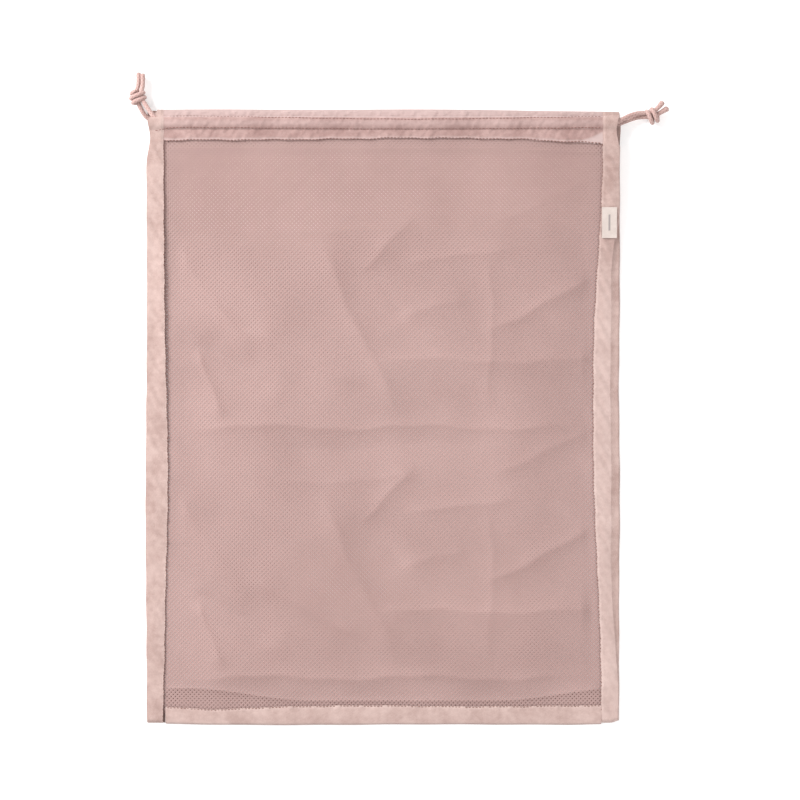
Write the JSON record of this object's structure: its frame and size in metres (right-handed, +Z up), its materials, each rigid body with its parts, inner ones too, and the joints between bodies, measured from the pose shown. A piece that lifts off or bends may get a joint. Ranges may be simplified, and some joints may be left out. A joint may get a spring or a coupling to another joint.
{
  "type": "mesh laundry bag",
  "caption": "Flat rectangular net laundry bag with taped edges and a double drawstring mouth, knotted at both sides.",
  "frame": {"origin": "under the middle of the bag, on the surface it lies on, halfway between its side edges and between its bottom edge and the top of its mouth; the free cord ends and knots are left out", "axes": "+X across the bag to the side with the label, +Y along the bag to the mouth, +Z up from the surface, through both layers"},
  "size_m": [0.5242, 0.6358, 0.017],
  "materials": {
    "mesh_net": "knitted net with small diamond holes, dusty pink, matte",
    "cotton_tape": "folded cotton twill tape, pale dusty pink, matte",
    "casing_cloth": "plain woven cotton, dusty pink, matte, slightly puckered along its stitching",
    "drawcord": "braided cord, pale dusty pink, soft sheen",
    "sewing_thread": "twisted sewing thread, a little darker than the cloth",
    "label_cloth": "woven satin label, off-white, blank"
  },
  "bodies": {
    "bag": {"back_mesh_panel": "mesh_net", "front_mesh_panel": "mesh_net", "back_casing": "casing_cloth", "front_casing": "casing_cloth", "left_side_tape": "cotton_tape", "right_side_tape": "cotton_tape", "bottom_tape": "cotton_tape", "woven_label": "label_cloth", "left_tape_stitching": "sewing_thread", "right_tape_stitching": "sewing_thread", "bottom_tape_stitching": "sewing_thread", "back_tunnel_upper_stitching": "sewing_thread", "back_tunnel_lower_stitching": "sewing_thread", "back_casing_hem_stitching": "sewing_thread", "front_tunnel_upper_stitching": "sewing_thread", "front_tunnel_lower_stitching": "sewing_thread", "front_casing_hem_stitching": "sewing_thread", "left_cord_turn": "drawcord", "right_cord_turn": "drawcord"},
    "left_drawcord": {"left_cord_front_run": "drawcord", "left_cord_back_run": "drawcord", "left_cord_front_end": "drawcord", "left_cord_back_end": "drawcord", "left_cord_knot": "drawcord", "left_cord_front_tail": "drawcord", "left_cord_back_tail": "drawcord"},
    "right_drawcord": {"right_cord_front_run": "drawcord", "right_cord_back_run": "drawcord", "right_cord_front_end": "drawcord", "right_cord_back_end": "drawcord", "right_cord_knot": "drawcord", "right_cord_front_tail": "drawcord", "right_cord_back_tail": "drawcord"}
  },
  "joints": [
    {"name": "left_drawcord_pull", "type": "slide", "parent": "bag", "child": "left_drawcord", "axis": [-1, 0, 0], "range_m": [0, 0.12]},
    {"name": "right_drawcord_pull", "type": "slide", "parent": "bag", "child": "right_drawcord", "axis": [1, 0, 0], "range_m": [0, 0.12]}
  ]
}
